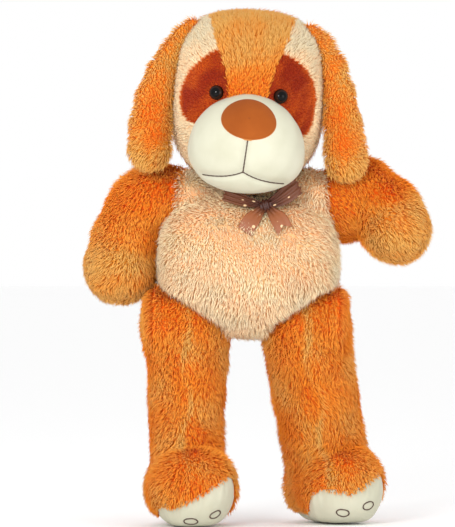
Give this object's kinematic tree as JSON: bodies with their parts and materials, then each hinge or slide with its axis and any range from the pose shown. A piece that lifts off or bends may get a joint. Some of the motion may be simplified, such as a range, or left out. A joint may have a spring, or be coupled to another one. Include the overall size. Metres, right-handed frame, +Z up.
{
  "type": "plush dog",
  "caption": "Standing soft toy dog with floppy ears, a round smooth muzzle, stuffed arms and legs that turn at their seams, and a ribbon bow at the neck.",
  "frame": {"origin": "on the floor under the middle of the toy's bounding box", "axes": "+Z up, the dog faces -Y, the dog's left side is +X"},
  "size_m": [0.5039, 0.3213, 0.7498],
  "materials": {
    "cream_plush": "cream pile, 8 to 10 mm",
    "orange_plush": "orange pile with tan tips, 8 to 10 mm",
    "tan_plush": "tan pile, 8 to 10 mm",
    "rust_pile": "short rust pile",
    "white_velboa": "short smooth white pile",
    "brown_velboa": "short smooth brown pile",
    "filling": "polyester fibre",
    "thread": "dark sewing thread",
    "ribbon": "sheer brown ribbon with small cream spots",
    "eye_plastic": "polished black",
    "washer_plastic": "moulded"
  },
  "bodies": {
    "torso": {"belly_cover": "cream_plush", "back_cover": "orange_plush", "torso_stuffing": "filling", "closing_stitches": "thread", "ribbon_band": "ribbon", "ribbon_knot": "ribbon", "ribbon_loop_left": "ribbon", "ribbon_loop_right": "ribbon", "ribbon_end_left": "ribbon", "ribbon_end_right": "ribbon"},
    "neck": {"neck_stuffing": "filling"},
    "head": {"crown_cover": "tan_plush", "head_back_cover": "orange_plush", "cheek_cover_left": "cream_plush", "cheek_cover_right": "cream_plush", "eye_patch_left": "rust_pile", "eye_patch_right": "rust_pile", "muzzle_cover": "white_velboa", "nose_patch": "brown_velboa", "mouth_thread": "thread", "eye_left": "eye_plastic", "eye_right": "eye_plastic", "eye_washer_left": "washer_plastic", "eye_washer_right": "washer_plastic", "head_stuffing": "filling", "muzzle_stuffing": "filling"},
    "ear_left": {"ear_cover_left": "orange_plush", "ear_lining_left": "tan_plush"},
    "ear_right": {"ear_cover_right": "orange_plush", "ear_lining_right": "tan_plush"},
    "arm_left": {"arm_front_cover_left": "orange_plush", "arm_back_cover_left": "tan_plush", "arm_stuffing_left": "filling"},
    "arm_right": {"arm_front_cover_right": "orange_plush", "arm_back_cover_right": "tan_plush", "arm_stuffing_right": "filling"},
    "leg_left": {"leg_front_cover_left": "orange_plush", "leg_back_cover_left": "tan_plush", "foot_cover_left": "orange_plush", "sole_left": "white_velboa", "toe_threads_left": "thread", "leg_stuffing_left": "filling"},
    "leg_right": {"leg_front_cover_right": "orange_plush", "leg_back_cover_right": "tan_plush", "foot_cover_right": "orange_plush", "sole_right": "white_velboa", "toe_threads_right": "thread", "leg_stuffing_right": "filling"},
    "tail": {"tail_cover": "tan_plush", "tail_stuffing": "filling"}
  },
  "joints": [
    {"name": "neck_turn", "type": "hinge", "parent": "torso", "child": "neck", "pos_m": [-0.014, 0.014, 0.497], "axis": [0, 0, 1], "range_deg": [-20, 20]},
    {"name": "head_nod", "type": "hinge", "parent": "neck", "child": "head", "pos_m": [-0.014, 0.014, 0.497], "axis": [1, 0, 0], "range_deg": [-15, 3]},
    {"name": "ear_left_lift", "type": "hinge", "parent": "head", "child": "ear_left", "pos_m": [0.0902, -0.025, 0.7018], "axis": [0, -1, 0], "range_deg": [0, 95]},
    {"name": "ear_right_lift", "type": "hinge", "parent": "head", "child": "ear_right", "pos_m": [-0.1074, -0.025, 0.7139], "axis": [0, 1, 0], "range_deg": [0, 95]},
    {"name": "shoulder_left", "type": "hinge", "parent": "torso", "child": "arm_left", "pos_m": [0.127, 0.031, 0.463], "axis": [-1, 0, 0], "range_deg": [-60, 45]},
    {"name": "shoulder_right", "type": "hinge", "parent": "torso", "child": "arm_right", "pos_m": [-0.152, 0.031, 0.463], "axis": [-1, 0, 0], "range_deg": [-40, 75]},
    {"name": "hip_left", "type": "hinge", "parent": "torso", "child": "leg_left", "pos_m": [0.068, 0.013, 0.286], "axis": [-1, 0, 0], "range_deg": [-5, 92]},
    {"name": "hip_right", "type": "hinge", "parent": "torso", "child": "leg_right", "pos_m": [-0.102, 0.009, 0.286], "axis": [-1, 0, 0], "range_deg": [-15, 75]},
    {"name": "tail_wag", "type": "hinge", "parent": "torso", "child": "tail", "pos_m": [-0.014, 0.09087, 0.335], "axis": [0, 0, 1], "range_deg": [-20, 20]}
  ]
}
